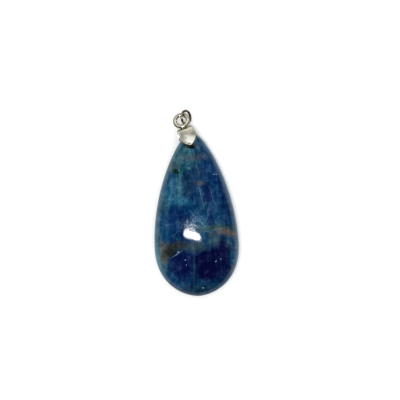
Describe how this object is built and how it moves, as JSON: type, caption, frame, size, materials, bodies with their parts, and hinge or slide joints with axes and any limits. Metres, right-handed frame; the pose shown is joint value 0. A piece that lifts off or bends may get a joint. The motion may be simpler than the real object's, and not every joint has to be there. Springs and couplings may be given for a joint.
{
  "type": "apatite drop pendant",
  "caption": "Polished drop-shaped cabochon of blue apatite with a flat back, held by a folded pinch bail with a round eye and a split jump ring.",
  "frame": {"origin": "on the flat back, under the middle of the drop's widest section", "axes": "+X to the right, +Y from the drop's round end towards the bail, +Z out of the domed front"},
  "size_m": [0.023, 0.0512, 0.0084],
  "materials": {
    "apatite": "high polish, blue with brown veins",
    "bail_metal": "bright nickel silver",
    "ring_metal": "bright nickel silver wire"
  },
  "bodies": {
    "pendant": {"stone": "apatite", "pinch_bail": "bail_metal"},
    "ring": {"jump_ring": "ring_metal"}
  },
  "joints": [
    {"name": "ring_swing", "type": "hinge", "parent": "pendant", "child": "ring", "pos_m": [-0.00152, 0.03589, 0.00214], "axis": [0.7488, -0.0144, 0.6626], "continuous": true}
  ]
}
